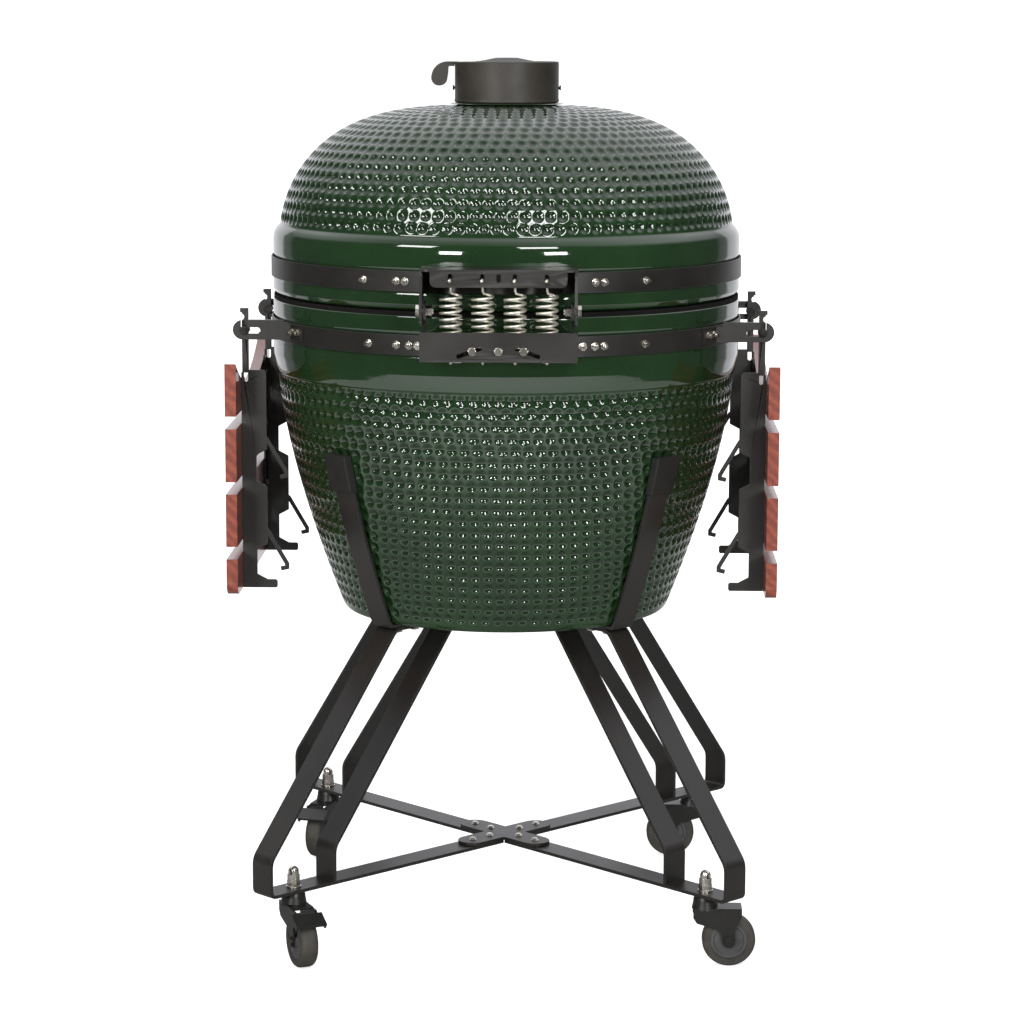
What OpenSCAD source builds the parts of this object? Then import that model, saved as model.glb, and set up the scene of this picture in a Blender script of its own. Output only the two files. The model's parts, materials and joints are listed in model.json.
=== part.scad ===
// Kamado ceramic grill on a wheeled flat-bar cart with two fold-down side shelves.
// Millimetres, +Z up. Origin on the floor under the axis of the ceramic.
// The lid hinge is at -Y, the handle and the draft door at +Y.

/* [Ceramic] */
// Outer radius of the ceramic rims
rim_r = 343; // [341:1:344]
// Wall thickness of the ceramic
wall_t = 25; // [22:1:27]
// Radius of the flat bottom of the bowl
bowl_bottom_r = 240; // [236:1:242]
// Height of the dome above the lid rim
dome_h = 184; // [180:1:186]
// Width of the steel bands
band_w = 29; // [26:1:29]

/* [Vent cap] */
// Outer radius of the vent cap
cap_r = 76; // [74:1:77]
// Height of the wall of the vent cap
cap_h = 59; // [56:1:60]

/* [Hinge] */
// Half width of the hinge box
hinge_half = 107; // [106:1:109]
// Radius of the spring wire
wire_r = 2.25; // [1.5:0.25:2.25]
// Radius of the spring coils, to the middle of the wire
coil_r = 14; // [11:1:15]

/* [Shelves] */
// Length of a shelf board
board_len = 460; // [430:5:470]
// Thickness of a shelf board
board_t = 16; // [14:1:18]
// Depth of the curved cut in the board next to the ceramic
board_sag = 52; // [30:2:56]

/* [Cart] */
// Width of the flat bar
bar_w = 40; // [36:1:40]
// Thickness of the flat bar
bar_t = 5; // [4:0.5:5]
// Distance from the axis to the outer upright of each leg
leg_reach = 471; // [462:1:480]
// Diameter of the caster wheels
wheel_d = 76; // [70:1:76]
// Width of the caster wheels
wheel_w = 24; // [20:1:25]

/* [Hidden] */

// Heights of the ceramic
bowl_z = 468;
bowl_h = 350;
bowl_top_r = rim_r - 7;
bowl_power = 1.45;
base_rim_z = 830;
base_top_z = 928.5;
felt_t = 2.5;
lid_z = 934;
lid_rim_top_z = 1017;
dome_z = 1025;
dome_r = rim_r - 10;
neck_top_z = 1211.6;
chimney_r = 50;
vent_z = neck_top_z + 0.4;
cap_top_z = vent_z + cap_h;
vent_deck_z = cap_top_z - 13;
disc_z = cap_top_z - 4.7;
base_band_z = 873;
lid_band_z = 961;
band_t = 2.5;
fit_gap = 0.3;
band_in_r = rim_r + fit_gap;
band_out_r = band_in_r + band_t;
sheet_t = 3;
// Gap left between flat faces that rest on each other
rest_gap = 0.1;

// Hinge
pivot_y = -392;
pivot_z = 941;
pivot_r = 5;
run_gap = 0.05;
plate_in_r = band_out_r + fit_gap;
plate_out_r = plate_in_r + sheet_t;
spring_y = -377;
spring_x = [-65.5, -22, 22, 65.5];
box_front_y = -402;
box_top_z = 913.5;
lip_y = -397;
lip_z = 974;
bracket_top_z = 998;

// Shelf arms and shelves
arm_y = 172.5;
arm_z = 879;
arm_top_z = 907;
pin_x = 369.5;
pin_z = 892;
pin_r = 4;
slot_r = 4.5;
stud_x = 333.5;
stud_z = 900.5;
stud_r = 3;
web_y = 161;
board_x = 376;
board_rows = [[775, 850], [681, 757], [588, 663.5], [517, 570]];

// Cart
leg_z = 103;
leg_bend_z = 157;
leg_top_z = bowl_z - bar_t - 2 * rest_gap;
slope = 0.781;
inner_reach = 354;
inner_top = 117;
outer_top = leg_reach - slope * (leg_top_z - bar_t / 2 - leg_bend_z);
stem_s = 415;
stem_r = 5;
diagonals = [45, 135, 225, 315];
plate_screw_s = [31, 66];
foot_bolt_s = [183, 215];
pad_low_z = 668;
pad_top_z = 722;
strap_top_z = 712;

// Casters
wheel_r = wheel_d / 2;
trail = 34;
axle_r = 4;
fork_half = 14;
cheek_t = 2.5;
heading_fl = -65;
heading_fr = 0;
heading_rl = -107;
heading_rr = 180;
stem_xy = stem_s * cos(45);

smooth = 96;
fine = 32;

// Plan and profile functions
function unit(v) = v / norm(v);
function left_of(v) = [-v[1], v[0]];
function into(p, i) = unit(p[i] - p[i - 1]);
function outof(p, i) = unit(p[i + 1] - p[i]);
function way_in(p, i) = i > 0 ? into(p, i) : outof(p, i);
function way_out(p, i) = i < len(p) - 1 ? outof(p, i) : into(p, i);
function miter(p, i, d) =
    let (a = left_of(way_in(p, i)), b = left_of(way_out(p, i)), n = unit(a + b))
    p[i] + n * d / (n * a);
function strip_outline(p, t) = concat(
    [for (i = [0 : len(p) - 1]) miter(p, i, t / 2)],
    [for (i = [len(p) - 1 : -1 : 0]) miter(p, i, -t / 2)]);
function curve(a, b, c, t) = a * (1 - t) * (1 - t) + b * 2 * t * (1 - t) + c * t * t;
function bent(p, d) = concat(
    [p[0]],
    [for (i = [1 : len(p) - 2]) for (k = [0 : 4])
        curve(p[i] - into(p, i) * d, p[i], p[i] + outof(p, i) * d, k / 4)],
    [p[len(p) - 1]]);
function bowl_r(z) =
    bowl_bottom_r + (bowl_top_r - bowl_bottom_r)
    * (1 - pow(max(0, 1 - (z - bowl_z) / bowl_h), bowl_power));
function dome_at(r, h, z) = r * pow(max(0, 1 - pow(max(0, (z - dome_z) / h), 1.8)), 1 / 3.5);
function arc_points(r, a, b, n) = [for (i = [0 : n]) r * [cos(a + (b - a) * i / n), sin(a + (b - a) * i / n)]];

// A flat bar bent along path p in the XZ plane
module bar(p, t, w) {
    rotate([90, 0, 0])
        translate([0, 0, -w / 2])
            linear_extrude(w)
                polygon(strip_outline(p, t));
}

// A plate drawn in the XZ plane, from y to y + t
module xz_plate(y, t) {
    translate([0, y + t, 0])
        rotate([90, 0, 0])
            linear_extrude(t)
                children();
}

// A plate drawn in the YZ plane, from x to x + t
module yz_plate(x, t) {
    translate([x, 0, 0])
        rotate([90, 0, 90])
            linear_extrude(t)
                children();
}

// A sector of a ring about the ceramic axis, between angles a and b
module ring_sector(r1, r2, a, b, z, h) {
    translate([0, 0, z])
        linear_extrude(h)
            polygon(concat(arc_points(r1, a, b, 16), arc_points(r2, b, a, 16)));
}

module ring(r1, r2, z, h) {
    translate([0, 0, z])
        difference() {
            cylinder(h = h, r = r2, $fn = smooth);
            translate([0, 0, -1])
                cylinder(h = h + 2, r = r1, $fn = smooth);
        }
}

// A hex nut on a washer with a stud end, standing out along +Z
module nut_end(r, stud) {
    cylinder(h = 1, r = r * 1.25, $fn = fine);
    cylinder(h = r * 0.95, r = r, $fn = 6);
    cylinder(h = stud, r = r * 0.55, $fn = fine);
}

// Turns +Z to point outwards from the ceramic axis at angle a, radius r and height z
module outward(a, r, z) {
    rotate([0, 0, a])
        translate([r, 0, z])
            rotate([0, 90, 0])
                children();
}

// ---------------- ceramic ----------------

module bowl_solid() {
    outer = concat(
        [[0, bowl_z], [bowl_bottom_r - 6, bowl_z], [bowl_bottom_r - 1.5, bowl_z + 1.5]],
        [for (z = [bowl_z + 5 : 15 : bowl_z + bowl_h - 15]) [bowl_r(z), z]],
        [[bowl_top_r, bowl_z + bowl_h], [bowl_top_r + 1.2, bowl_z + bowl_h + 4], [rim_r - 3.6, base_rim_z],
         [rim_r - 1.2, base_rim_z + 9], [rim_r, base_rim_z + 18],
         [rim_r, base_top_z - 7], [rim_r - 1.5, base_top_z - 2.5], [rim_r - 5, base_top_z]]);
    floor_z = bowl_z + wall_t + 3;
    inner = concat(
        [[rim_r - wall_t, base_top_z], [rim_r - wall_t, base_rim_z]],
        [for (z = [bowl_z + bowl_h - 20 : -20 : floor_z + 10]) [bowl_r(z) - wall_t, z]],
        [[bowl_r(floor_z) - wall_t - 8, floor_z], [0, floor_z]]);
    rotate_extrude($fn = smooth)
        polygon(concat(outer, inner));
}

module ceramic_base() {
    color([0.05, 0.15, 0.09])
        difference() {
            bowl_solid();
            translate([-78, 150, 507])
                cube([156, 160, 50]);
        }
}

module ceramic_lid() {
    step_z = 1037;
    outer = concat(
        [[rim_r - 8, lid_z], [rim_r - 3, lid_z + 3], [rim_r, lid_z + 10], [rim_r, lid_rim_top_z],
         [rim_r - 1.2, lid_rim_top_z + 7], [rim_r - 4.5, lid_rim_top_z + 13], [dome_r - 0.3, step_z - 1]],
        [for (k = [0 : 17]) let (z = step_z + (dome_h - 12) * k / 18) [dome_at(dome_r, dome_h, z), z]],
        [[cap_r + 16, 1206.5], [cap_r + 8, neck_top_z], [chimney_r, neck_top_z]]);
    inner_h = dome_h - wall_t;
    inner = concat(
        [for (k = [16 : -1 : 0]) let (z = dome_z + (inner_h - 3) * k / 16)
            [dome_at(rim_r - wall_t, inner_h, z), z]],
        [[rim_r - wall_t, lid_z]]);
    color([0.05, 0.15, 0.09])
        difference() {
            rotate_extrude($fn = smooth)
                polygon(concat(outer, [[chimney_r, dome_z + inner_h - 3]], inner));
            thermometer_axis()
                translate([0, 0, -60])
                    cylinder(h = 90, r = 5.5, $fn = fine);
        }
}

module firebox() {
    color([0.72, 0.62, 0.5])
        difference() {
            rotate_extrude($fn = smooth)
                polygon([[120, 496.2], [205, 496.2], [bowl_r(560) - wall_t - 7, 560],
                         [bowl_r(740) - wall_t - 7, 740], [bowl_r(740) - wall_t - 27, 740],
                         [bowl_r(600) - wall_t - 27, 600], [190, 588], [190, 576], [160, 576], [120, 515]]);
            translate([-80, 100, 490])
                cube([160, 200, 69]);
            for (a = [20 : 40 : 340])
                rotate([0, 0, a + 70])
                    translate([200, 0, 640])
                        rotate([0, 90, 0])
                            cylinder(h = 100, r = 8, $fn = fine);
        }
}

module fire_ring() {
    color([0.72, 0.62, 0.5])
        rotate_extrude($fn = smooth)
            polygon([[bowl_r(740) - wall_t - 27, 740.3], [bowl_r(740) - wall_t - 7, 740.3],
                     [303, 874], [283, 874]]);
}

module charcoal_grate() {
    color([0.13, 0.13, 0.14])
        difference() {
            translate([0, 0, 576.3])
                cylinder(h = 8, r = 186, $fn = smooth);
            for (x = [-150 : 20 : 150])
                translate([x - 4, -sqrt(170 * 170 - x * x), 570])
                    cube([8, 2 * sqrt(170 * 170 - x * x), 20]);
        }
}

module cooking_grate() {
    grate_z = 874.3;
    wire = 3;
    color([0.75, 0.75, 0.76]) {
        ring(288, 296, grate_z, 8);
        for (x = [-270 : 18 : 270])
            translate([x, 0, grate_z + 4])
                rotate([90, 0, 0])
                    cylinder(h = 2 * sqrt(291 * 291 - x * x), r = wire, center = true, $fn = 16);
        for (y = [-150, 150])
            translate([0, y, grate_z + 2.5])
                rotate([0, 90, 0])
                    cylinder(h = 2 * sqrt(291 * 291 - y * y), r = 2.4, center = true, $fn = 16);
    }
}

module base_gasket() {
    color([0.03, 0.03, 0.03])
        ring(rim_r - 23, rim_r - 1, base_top_z + 0.1, felt_t);
}

module lid_gasket() {
    color([0.03, 0.03, 0.03])
        ring(rim_r - 23, rim_r - 1, lid_z - 0.1 - felt_t, felt_t);
}

// ---------------- bands ----------------

module band(z) {
    ring(band_in_r, band_out_r, z, band_w);
}

module base_band() {
    color([0.1, 0.1, 0.1])
        band(base_band_z);
}

module lid_band() {
    color([0.1, 0.1, 0.1])
        band(lid_band_z);
}

function band_angle(x) = -90 + asin(x / band_out_r);

module band_nuts(xs, z) {
    for (x = xs)
        outward(band_angle(x), band_out_r + 0.1, z)
            nut_end(4.6, 9);
}

module base_band_bolts() {
    color([0.8, 0.78, 0.74])
        band_nuts([-183, -143, -125.5, -113.5, 114, 130.5, 143.5, 200], base_band_z + band_w / 2);
}

module lid_band_bolts() {
    color([0.8, 0.78, 0.74])
        band_nuts([-190, -143.5, -131, 131, 143.5, 201], lid_band_z + band_w / 2);
}

// ---------------- hinge ----------------

module slot_hole(x1, z1, x2, z2, r) {
    a = [x1, z1];
    b = [x2, z2];
    n = left_of(unit(b - a)) * r;
    translate(a)
        circle(r = r, $fn = fine);
    translate(b)
        circle(r = r, $fn = fine);
    polygon([a + n, b + n, b - n, a - n]);
}

// The part of a floor between the front line and the curved back plate
module hinge_floor(half, front, z, corner) {
    translate([0, 0, z])
        linear_extrude(sheet_t)
            difference() {
                union() {
                    translate([-half, front + corner])
                        square([2 * half, -front - corner - 300]);
                    translate([-half + corner, front])
                        square([2 * (half - corner), corner + 1]);
                    for (s = [-1, 1])
                        translate([s * (half - corner), front + corner])
                            circle(r = corner, $fn = fine);
                }
                circle(r = plate_in_r, $fn = smooth);
            }
}

module curved_back(half, z, h) {
    a = asin(half / plate_out_r);
    ring_sector(plate_in_r, plate_out_r, -90 - a, -90 + a, z, h);
}

module hinge_ear(x) {
    ear_r = 14;
    yz_plate(x, 4)
        difference() {
            union() {
                translate([pivot_y, pivot_z])
                    circle(r = ear_r, $fn = fine * 2);
                polygon([[pivot_y - 7.5, base_band_z + 1], [pivot_y + 30, base_band_z + 1],
                         [pivot_y + 30, base_band_z + 25], [pivot_y + 13.5, pivot_z - 4],
                         [pivot_y + 12, pivot_z + 6], [pivot_y - 7.5, pivot_z + 11]]);
            }
            translate([pivot_y, pivot_z])
                circle(r = pivot_r + 0.02, $fn = fine * 2);
        }
}

module hinge_lower_bracket() {
    box_h = box_top_z - base_band_z;
    color([0.1, 0.1, 0.1])
        difference() {
            union() {
                xz_plate(box_front_y, sheet_t)
                    translate([-hinge_half, base_band_z])
                        square([2 * hinge_half, box_h]);
                hinge_floor(hinge_half, box_front_y, base_band_z, 2);
                curved_back(hinge_half - 0.5, base_band_z, band_w);
                for (s = [-1, 1])
                    yz_plate(s > 0 ? hinge_half - sheet_t : -hinge_half, sheet_t)
                        polygon([[box_front_y, base_band_z], [-332, base_band_z],
                                 [-332, base_band_z + band_w], [box_front_y + 30, box_top_z],
                                 [box_front_y, box_top_z]]);
                hinge_ear(98);
                hinge_ear(-102);
            }
            for (x = spring_x)
                translate([x, spring_y, base_band_z - 1])
                    cylinder(h = 6, r = wire_r + 2, $fn = fine);
            xz_plate(box_front_y - 1, sheet_t + 2) {
                slot_hole(-54, 881.2, -25, 891.8, 2.9);
                slot_hole(54, 881.2, 25, 891.8, 2.9);
                translate([0, 888])
                    circle(r = 2.8, $fn = fine);
            }
        }
}

module hinge_arm(x) {
    arm_r = 19;
    yz_plate(x, 4)
        difference() {
            union() {
                translate([pivot_y, pivot_z])
                    circle(r = arm_r, $fn = fine * 2);
                polygon([[-333, bracket_top_z - 1], [lip_y + 6, bracket_top_z - 1], [lip_y, bracket_top_z - 8],
                         [pivot_y - arm_r + 0.5, pivot_z + 4], [pivot_y + arm_r - 0.5, pivot_z - 3],
                         [pivot_y + 30, lid_band_z], [-333, lid_band_z]]);
            }
            translate([pivot_y, pivot_z])
                circle(r = pivot_r + run_gap, $fn = fine * 2);
        }
}

module hinge_upper_bracket() {
    lip_half = 93;
    color([0.1, 0.1, 0.1])
        difference() {
            union() {
                hinge_floor(hinge_half, lip_y, bracket_top_z - sheet_t, 12);
                curved_back(hinge_half - 0.5, lid_band_z, bracket_top_z - lid_band_z);
                hinge_arm(103);
                hinge_arm(-107);
                xz_plate(lip_y, sheet_t)
                    union() {
                        translate([-lip_half, lip_z + 8])
                            square([2 * lip_half, bracket_top_z - lip_z - 8]);
                        translate([-lip_half + 8, lip_z])
                            square([2 * lip_half - 16, 9]);
                        for (s = [-1, 1])
                            translate([s * (lip_half - 8), lip_z + 8])
                                circle(r = 8, $fn = fine);
                    }
            }
            xz_plate(lip_y - 1, sheet_t + 2)
                for (x = concat(spring_x, [0]))
                    slot_hole(x, 984, x, 989.5, 3);
        }
}

module hinge_pivot_bolts() {
    color([0.8, 0.78, 0.74])
        for (s = [-1, 1])
            translate([0, pivot_y, pivot_z])
                rotate([0, 90 * s, 0]) {
                    translate([0, 0, 88])
                        cylinder(h = 22, r = pivot_r, $fn = fine * 2);
                    translate([0, 0, 90])
                        cylinder(h = 7.8, r = 9, $fn = 6);
                    translate([0, 0, 107.2])
                        cylinder(h = 5, r = 9, $fn = 6);
                }
}

// The section of a round wire cut level, for a coil that climbs pitch in each turn
function level_cut(pitch) = [for (k = [0 : 7])
    let (b = 360 * k / 8, a = 360 * wire_r * sin(b) / pitch)
    (coil_r + wire_r * cos(b)) * [cos(a), sin(a)]];

module spring() {
    coil_low = 887;
    coil_high = 961;
    turns = 7;
    pitch = (coil_high - coil_low) / turns;
    translate([0, 0, coil_low])
        linear_extrude(coil_high - coil_low, twist = -360 * turns, slices = 9 * turns, segments = 8)
            polygon(level_cut(pitch));
    for (z = [coil_low, coil_high])
        translate([-0.5, 0, z])
            rotate([0, 90, 0])
                cylinder(h = coil_r + 2, r = wire_r, $fn = 12);
    translate([0, 0, 868.5])
        cylinder(h = coil_low - 868.5, r = wire_r, $fn = 16);
    translate([0, 7, 869])
        rotate([90, 0, 0])
            cylinder(h = 14, r = wire_r, $fn = 16);
    translate([0, 0, coil_high])
        cylinder(h = 984.5 - coil_high, r = wire_r, $fn = 16);
    translate([0, 1.5, 984.5])
        rotate([90, 0, 0])
            cylinder(h = 27, r = wire_r, $fn = 16);
}

module hinge_springs() {
    color([0.75, 0.72, 0.66])
        for (x = spring_x)
            translate([x, spring_y, 0])
                spring();
}

module hinge_box_bolts() {
    color([0.8, 0.78, 0.74])
        for (x = [-35.5, 0, 34.5])
            translate([x, box_front_y, 888])
                rotate([90, 0, 0]) {
                    translate([0, 0, 0.05])
                        cylinder(h = 1.2, r = 5.6, $fn = fine);
                    translate([0, 0, 1])
                        cylinder(h = 4, r = 5, $fn = 6);
                    translate([0, 0, -9])
                        cylinder(h = 12, r = 2.4, $fn = fine);
                    translate([0, 0, -7.5])
                        cylinder(h = 4, r = 5, $fn = 6);
                }
}

// ---------------- shelf arms on the base band ----------------

module arm_profile() {
    hook_x = 374;
    difference() {
        union() {
            translate([313, arm_z])
                square([hook_x - 313, arm_top_z - arm_z]);
            translate([hook_x - 2, arm_z + 14])
                circle(r = 14, $fn = fine * 2);
        }
        slot_hole(351, pin_z, 370, pin_z, slot_r);
        translate([365.6, pin_z])
            square([9, 30]);
    }
}

// One arm at +X and -Y
module shelf_arm() {
    xz_plate(-arm_y, sheet_t)
        arm_profile();
    translate([313, -arm_y + 1, arm_top_z - sheet_t])
        cube([50, 8.5, sheet_t]);
    xz_plate(-arm_y, sheet_t)
        translate([303, arm_z])
            square([11, 22]);
    ring_sector(plate_in_r, plate_out_r, -35, -29.2, arm_z, 22);
    translate([stud_x, -arm_y + 1, stud_z])
        rotate([-90, 0, 0])
            cylinder(h = 15, r = stud_r, $fn = fine);
}

module four_ways() {
    children();
    mirror([1, 0, 0])
        children();
    mirror([0, 1, 0]) {
        children();
        mirror([1, 0, 0])
            children();
    }
}

module shelf_arms() {
    color([0.1, 0.1, 0.1])
        four_ways()
            shelf_arm();
}

module shelf_arm_bolts() {
    color([0.8, 0.78, 0.74])
        four_ways()
            for (a = [-30.9, -33.4])
                outward(a, plate_out_r + 0.15, arm_z + 11)
                    nut_end(5, 8);
}

// ---------------- vent cap ----------------

module vent_openings(turn) {
    for (a = [45 : 90 : 315])
        rotate([0, 0, a + turn])
            translate([0, 0, -60])
                linear_extrude(120)
                    polygon(concat(arc_points(20, -21, 21, 4), arc_points(46, 21, -21, 8)));
}

module cap_body() {
    wall = 3;
    color([0.27, 0.25, 0.23])
        difference() {
            union() {
                rotate_extrude($fn = smooth)
                    polygon([[44, vent_z - 15], [48, vent_z - 15], [48, vent_z], [cap_r - 1, vent_z],
                             [cap_r + 0.8, vent_z + 1.5], [cap_r + 0.8, vent_z + 3.5], [cap_r, vent_z + 5],
                             [cap_r, cap_top_z - 1], [cap_r - 1, cap_top_z], [cap_r - wall, cap_top_z],
                             [cap_r - wall, vent_z + 3], [44, vent_z + 3]]);
                translate([0, 0, vent_deck_z])
                    difference() {
                        cylinder(h = 7.5, r = cap_r - wall + 0.5, $fn = smooth);
                        vent_openings(0);
                    }
            }
            for (s = [-1, 1])
                translate([s * (cap_r - 5), 0, vent_z + 21])
                    rotate([0, 90, 0])
                        cylinder(h = 14, r = 1.9, center = true, $fn = fine);
            translate([0, 0, disc_z - 0.7])
                linear_extrude(20)
                    polygon(concat([[0, 0]], arc_points(cap_r + 8, 129, 186, 8)));
            translate([0, 0, vent_deck_z - 5])
                cylinder(h = 20, r = 4.02, $fn = fine * 2);
        }
}

module damper_disc() {
    tab_t = 5;
    rise = 5.5;
    tab_z = cap_top_z - 23.5;
    color([0.25, 0.23, 0.21]) {
        difference() {
            rotate_extrude($fn = smooth)
                polygon([[4.05, disc_z], [cap_r - 3.6, disc_z], [cap_r - 3.6, cap_top_z - 0.6],
                         [50, cap_top_z - 0.6], [33, cap_top_z + 2], [16, cap_top_z + rise],
                         [8.3, cap_top_z + rise], [8.3, cap_top_z + rise - 3], [4.05, cap_top_z + rise - 3]]);
            vent_openings(45);
        }
        xz_plate(-tab_t / 2, tab_t) {
            translate([-cap_r - 1, disc_z])
                square([7, 4.7]);
            translate([-cap_r - 22.8, tab_z])
                circle(r = 11.8, $fn = fine * 2);
            polygon(concat(
                [for (p = arc_points(23.5, 180, 90, 10)) p + [-cap_r - 11, tab_z]],
                [[-cap_r - 0.6, cap_top_z], [-cap_r - 0.6, cap_top_z - 6.7], [-cap_r - 8, cap_top_z - 6.7],
                 [-cap_r - 9.3, cap_top_z - 8], [-cap_r - 9.8, cap_top_z - 17], [-cap_r - 11, tab_z]]));
        }
    }
}

module cap_screws() {
    color([0.2, 0.2, 0.2])
        for (s = [0, 180])
            rotate([0, 0, s])
                translate([cap_r - 8, 0, vent_z + 21])
                    rotate([0, 90, 0]) {
                        cylinder(h = 10, r = 1.85, $fn = fine);
                        translate([0, 0, 8.9])
                            cylinder(h = 2.4, r = 3.6, $fn = fine);
                    }
}

module damper_rivet() {
    color([0.3, 0.28, 0.26]) {
        translate([0, 0, vent_deck_z - 3])
            cylinder(h = cap_top_z + 6 - vent_deck_z, r = 4, $fn = fine * 2);
        translate([0, 0, vent_deck_z - 3])
            cylinder(h = 2.9, r = 7, $fn = fine);
        translate([0, 0, cap_top_z + 2.6])
            cylinder(h = 2.6, r = 8, $fn = fine);
    }
}

// ---------------- lid fittings at +Y ----------------

module thermometer_axis() {
    translate([0, 310.6, 1105])
        rotate([-60, 0, 0])
            children();
}

module thermometer_case() {
    color([0.75, 0.75, 0.76])
        thermometer_axis()
            rotate_extrude($fn = smooth)
                polygon([[0, -45], [4.5, -45], [4.5, 0], [7, 0], [7, 2], [36, 2], [39, 4], [39, 15],
                         [36.5, 17], [34, 17], [34, 8], [0, 8]]);
}

module thermometer_dial() {
    color([0.93, 0.93, 0.9])
        thermometer_axis()
            translate([0, 0, 8.1])
                cylinder(h = 4, r = 33.8, $fn = smooth);
}

module handle_grip() {
    color([0.55, 0.3, 0.17])
        translate([0, 392, 1002])
            rotate([0, 90, 0])
                rotate_extrude($fn = fine * 2)
                    polygon([[6.1, -160], [14, -160], [17, -154], [19, 0], [17, 154], [14, 160], [6.1, 160]]);
}

module handle_posts() {
    color([0.1, 0.1, 0.1]) {
        for (s = [-1, 1])
            translate([s * 166 - 2, 0, 0])
                yz_plate(0, 4)
                    polygon([[306.5, 963], [340, 963], [380, 986], [404, 994], [408, 1002], [404, 1014],
                             [380, 1014], [340, 988], [306.5, 988]]);
        ring_sector(plate_in_r, plate_out_r, 61, 119, 963, 25);
        translate([-168, 392, 1002])
            rotate([0, 90, 0])
                cylinder(h = 336, r = 6, $fn = fine);
    }
}

module draft_frame() {
    color([0.7, 0.7, 0.71]) {
        difference() {
            union() {
                translate([-76, 224, 508])
                    cube([152, 58, 48]);
                translate([-95, 280, 492])
                    cube([300, 3, 80]);
            }
            translate([-73, 200, 511])
                cube([146, 100, 42]);
        }
        for (z = [492, 566])
            translate([-95, 282, z])
                cube([300, 7, 6]);
        for (z = [498, 563])
            translate([-95, 286.5, z])
                cube([300, 2.5, 3]);
        translate([-95, 282, 492])
            cube([4, 7, 80]);
        translate([201, 282, 492])
            cube([4, 7, 80]);
    }
}

module draft_door() {
    color([0.72, 0.72, 0.73]) {
        translate([-88, 283.4, 498.4])
            cube([170, 2.4, 67.2]);
        translate([-70, 285, 532])
            rotate([-90, 0, 0])
                cylinder(h = 16, r = 7, $fn = fine);
    }
}

// ---------------- cart ----------------

module leg_path_solid() {
    lower = leg_z + bar_t / 2;
    upper = leg_top_z - bar_t / 2;
    loop = bent([[20.6, lower], [leg_reach, lower], [leg_reach, leg_bend_z], [outer_top, upper],
                 [inner_top, upper], [inner_reach, leg_bend_z], [inner_reach, leg_z + 30]], 9);
    bar(loop, bar_t, bar_w);
    bar([[inner_reach, leg_z + 32], [inner_reach, leg_z + 2]], bar_t, bar_w);
}

module legs() {
    color([0.11, 0.1, 0.1])
        for (a = diagonals)
            rotate([0, 0, a])
                difference() {
                    leg_path_solid();
                    for (s = plate_screw_s)
                        translate([s, 0, leg_z - 5])
                            cylinder(h = 20, r = 3.1, $fn = fine);
                    translate([stem_s, 0, leg_z - 5])
                        cylinder(h = 20, r = stem_r + 0.1, $fn = fine);
                    for (s = foot_bolt_s)
                        translate([s, 0, leg_top_z - 10])
                            cylinder(h = 20, r = 4.1, $fn = fine);
                }
}

cradle_path = concat(
    [[170, bowl_z - bar_t / 2 - rest_gap], [bowl_bottom_r + 3, bowl_z - bar_t / 2 - rest_gap],
     [bowl_bottom_r + 9.5, bowl_z + 8]],
    [for (z = [bowl_z + 24 : 24 : strap_top_z - 4]) [bowl_r(z) + 3 + bar_t / 2, z]]);

module cradle_arms() {
    color([0.11, 0.1, 0.1])
        for (a = diagonals)
            rotate([0, 0, a])
                difference() {
                    bar(cradle_path, bar_t, bar_w);
                    for (s = foot_bolt_s)
                        translate([s, 0, bowl_z - 10])
                            cylinder(h = 20, r = 4.1, $fn = fine);
                }
}

module cradle_pads() {
    steps = [for (z = [pad_low_z : 9 : pad_top_z]) z];
    inner = [for (z = steps) [bowl_r(z) + 0.6, z]];
    outer = [for (i = [len(steps) - 1 : -1 : 0]) [bowl_r(steps[i]) + 14.6, steps[i]]];
    color([0.08, 0.08, 0.08])
        for (a = diagonals)
            rotate([0, 0, a])
                difference() {
                    rotate([90, 0, 0])
                        translate([0, 0, -bar_w / 2 - 2])
                            linear_extrude(bar_w + 4)
                                polygon(concat(inner, outer));
                    bar(cradle_path, bar_t + 0.2, bar_w + 0.2);
                }
}

module cradle_bolts() {
    color([0.8, 0.78, 0.74])
        for (a = diagonals)
            for (s = foot_bolt_s)
                rotate([0, 0, a])
                    translate([s, 0, 0]) {
                        translate([0, 0, leg_top_z - bar_t - 0.1 - 6])
                            cylinder(h = 6, r = 7, $fn = 6);
                        translate([0, 0, leg_top_z - 12])
                            cylinder(h = 16.9, r = 4, $fn = fine);
                    }
}

module cross_plate() {
    color([0.11, 0.1, 0.1])
        difference() {
            translate([0, 0, leg_z + bar_t + rest_gap])
                linear_extrude(5)
                    for (a = diagonals)
                        rotate(a) {
                            translate([-1, -22])
                                square([67, 44]);
                            translate([66, 0])
                                circle(r = 22, $fn = fine * 2);
                        }
            for (a = diagonals)
                for (s = plate_screw_s)
                    rotate([0, 0, a])
                        translate([s, 0, leg_z])
                            cylinder(h = 20, r = 3.1, $fn = fine);
        }
}

module cross_plate_screws() {
    color([0.8, 0.78, 0.74])
        for (a = diagonals)
            for (s = plate_screw_s)
                rotate([0, 0, a])
                    translate([s, 0, leg_z]) {
                        translate([0, 0, -6])
                            cylinder(h = 18, r = 3, $fn = fine);
                        translate([0, 0, -5.1])
                            cylinder(h = 5, r = 6, $fn = 6);
                        translate([0, 0, bar_t + 5.3])
                            cylinder(h = 3, r1 = 6, r2 = 3.6, $fn = fine);
                    }
}

// ---------------- casters ----------------

module at_stem(sx, sy) {
    translate([sx * stem_xy, sy * stem_xy, 0])
        children();
}

module at_stems() {
    for (sx = [-1, 1])
        for (sy = [-1, 1])
            at_stem(sx, sy)
                children();
}

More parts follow.
